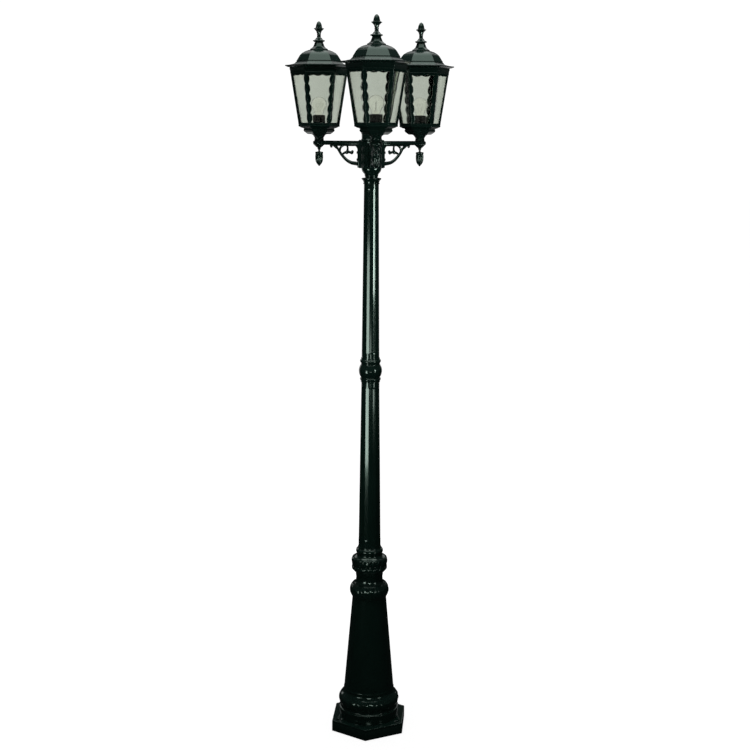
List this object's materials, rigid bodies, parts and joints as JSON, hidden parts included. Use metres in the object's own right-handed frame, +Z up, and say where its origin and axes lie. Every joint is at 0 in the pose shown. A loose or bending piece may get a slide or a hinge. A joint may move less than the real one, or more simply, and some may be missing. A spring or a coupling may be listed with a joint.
{
  "type": "street lamp",
  "caption": "Classic cast street lamp: hexagonal foot, conical base, fluted two-part post and scrolled arms, each with a glazed six-sided lantern.",
  "frame": {"origin": "centre of the anchor bolt circle, on the underside of the foot", "axes": "+Z up along the post; -Y towards the front arm"},
  "size_m": [0.709, 0.614, 3.06],
  "materials": {
    "paint": "gloss very dark green enamel",
    "lantern_glass": "clear, slightly rippled sheet glass",
    "bulb_glass": "clear bulb glass",
    "black_plastic": "moulded black phenolic",
    "brass": "satin",
    "cap_metal": "satin",
    "zinc_steel": "satin zinc plate",
    "white_plastic": "matte",
    "cable_sheath": "matte"
  },
  "bodies": {
    "post": {"foot_plate": "paint", "base_column": "paint", "base_collar": "paint", "lower_tube": "paint", "mid_joint": "paint", "upper_tube": "paint", "capital_ring": "paint", "hub": "paint", "hub_cap": "paint", "terminal_bracket": "zinc_steel", "terminal_block": "white_plastic", "riser_cable": "cable_sheath", "collar_screws": "zinc_steel", "joint_screws": "zinc_steel", "arm_screws": "zinc_steel", "arm_front": "paint", "scroll_front": "paint", "pendant_front": "paint", "nipple_front": "brass", "dish_front": "paint", "cage_front": "paint", "glass_panes_front": "lantern_glass", "lampholder_front": "black_plastic", "lead_front": "cable_sheath", "arm_right": "paint", "scroll_right": "paint", "pendant_right": "paint", "nipple_right": "brass", "dish_right": "paint", "cage_right": "paint", "glass_panes_right": "lantern_glass", "lampholder_right": "black_plastic", "lead_right": "cable_sheath", "arm_left": "paint", "scroll_left": "paint", "pendant_left": "paint", "nipple_left": "brass", "dish_left": "paint", "cage_left": "paint", "glass_panes_left": "lantern_glass", "lampholder_left": "black_plastic", "lead_left": "cable_sheath"},
    "roof_front": {"roof_front": "paint", "finial_front": "paint"},
    "bulb_lift_front": {"bulb_contact_front": "black_plastic"},
    "bulb_front": {"bulb_cap_front": "cap_metal", "bulb_glass_front": "bulb_glass"},
    "roof_right": {"roof_right": "paint", "finial_right": "paint"},
    "bulb_lift_right": {"bulb_contact_right": "black_plastic"},
    "bulb_right": {"bulb_cap_right": "cap_metal", "bulb_glass_right": "bulb_glass"},
    "roof_left": {"roof_left": "paint", "finial_left": "paint"},
    "bulb_lift_left": {"bulb_contact_left": "black_plastic"},
    "bulb_left": {"bulb_cap_left": "cap_metal", "bulb_glass_left": "bulb_glass"}
  },
  "joints": [
    {"name": "roof_lift_front", "type": "slide", "parent": "post", "child": "roof_front", "axis": [0, 0, 1], "range_m": [0, 0.16]},
    {"name": "bulb_rise_front", "type": "slide", "parent": "post", "child": "bulb_lift_front", "axis": [0, 0, 1], "range_m": [0, 0.0146]},
    {"name": "bulb_turn_front", "type": "hinge", "parent": "bulb_lift_front", "child": "bulb_front", "pos_m": [0, -0.246, 2.724], "axis": [0, 0, 1], "range_deg": [0, 1440]},
    {"name": "roof_lift_right", "type": "slide", "parent": "post", "child": "roof_right", "axis": [0, 0, 1], "range_m": [0, 0.16]},
    {"name": "bulb_rise_right", "type": "slide", "parent": "post", "child": "bulb_lift_right", "axis": [0, 0, 1], "range_m": [0, 0.0146]},
    {"name": "bulb_turn_right", "type": "hinge", "parent": "bulb_lift_right", "child": "bulb_right", "pos_m": [0.21304, 0.123, 2.724], "axis": [0, 0, 1], "range_deg": [0, 1440]},
    {"name": "roof_lift_left", "type": "slide", "parent": "post", "child": "roof_left", "axis": [0, 0, 1], "range_m": [0, 0.16]},
    {"name": "bulb_rise_left", "type": "slide", "parent": "post", "child": "bulb_lift_left", "axis": [0, 0, 1], "range_m": [0, 0.0146]},
    {"name": "bulb_turn_left", "type": "hinge", "parent": "bulb_lift_left", "child": "bulb_left", "pos_m": [-0.21304, 0.123, 2.724], "axis": [0, 0, 1], "range_deg": [0, 1440]}
  ],
  "couplings": [
    {"joint": "bulb_rise_front", "follows": "bulb_turn_front", "m_per_rad": 0.000576},
    {"joint": "bulb_rise_right", "follows": "bulb_turn_right", "m_per_rad": 0.000576},
    {"joint": "bulb_rise_left", "follows": "bulb_turn_left", "m_per_rad": 0.000576}
  ]
}
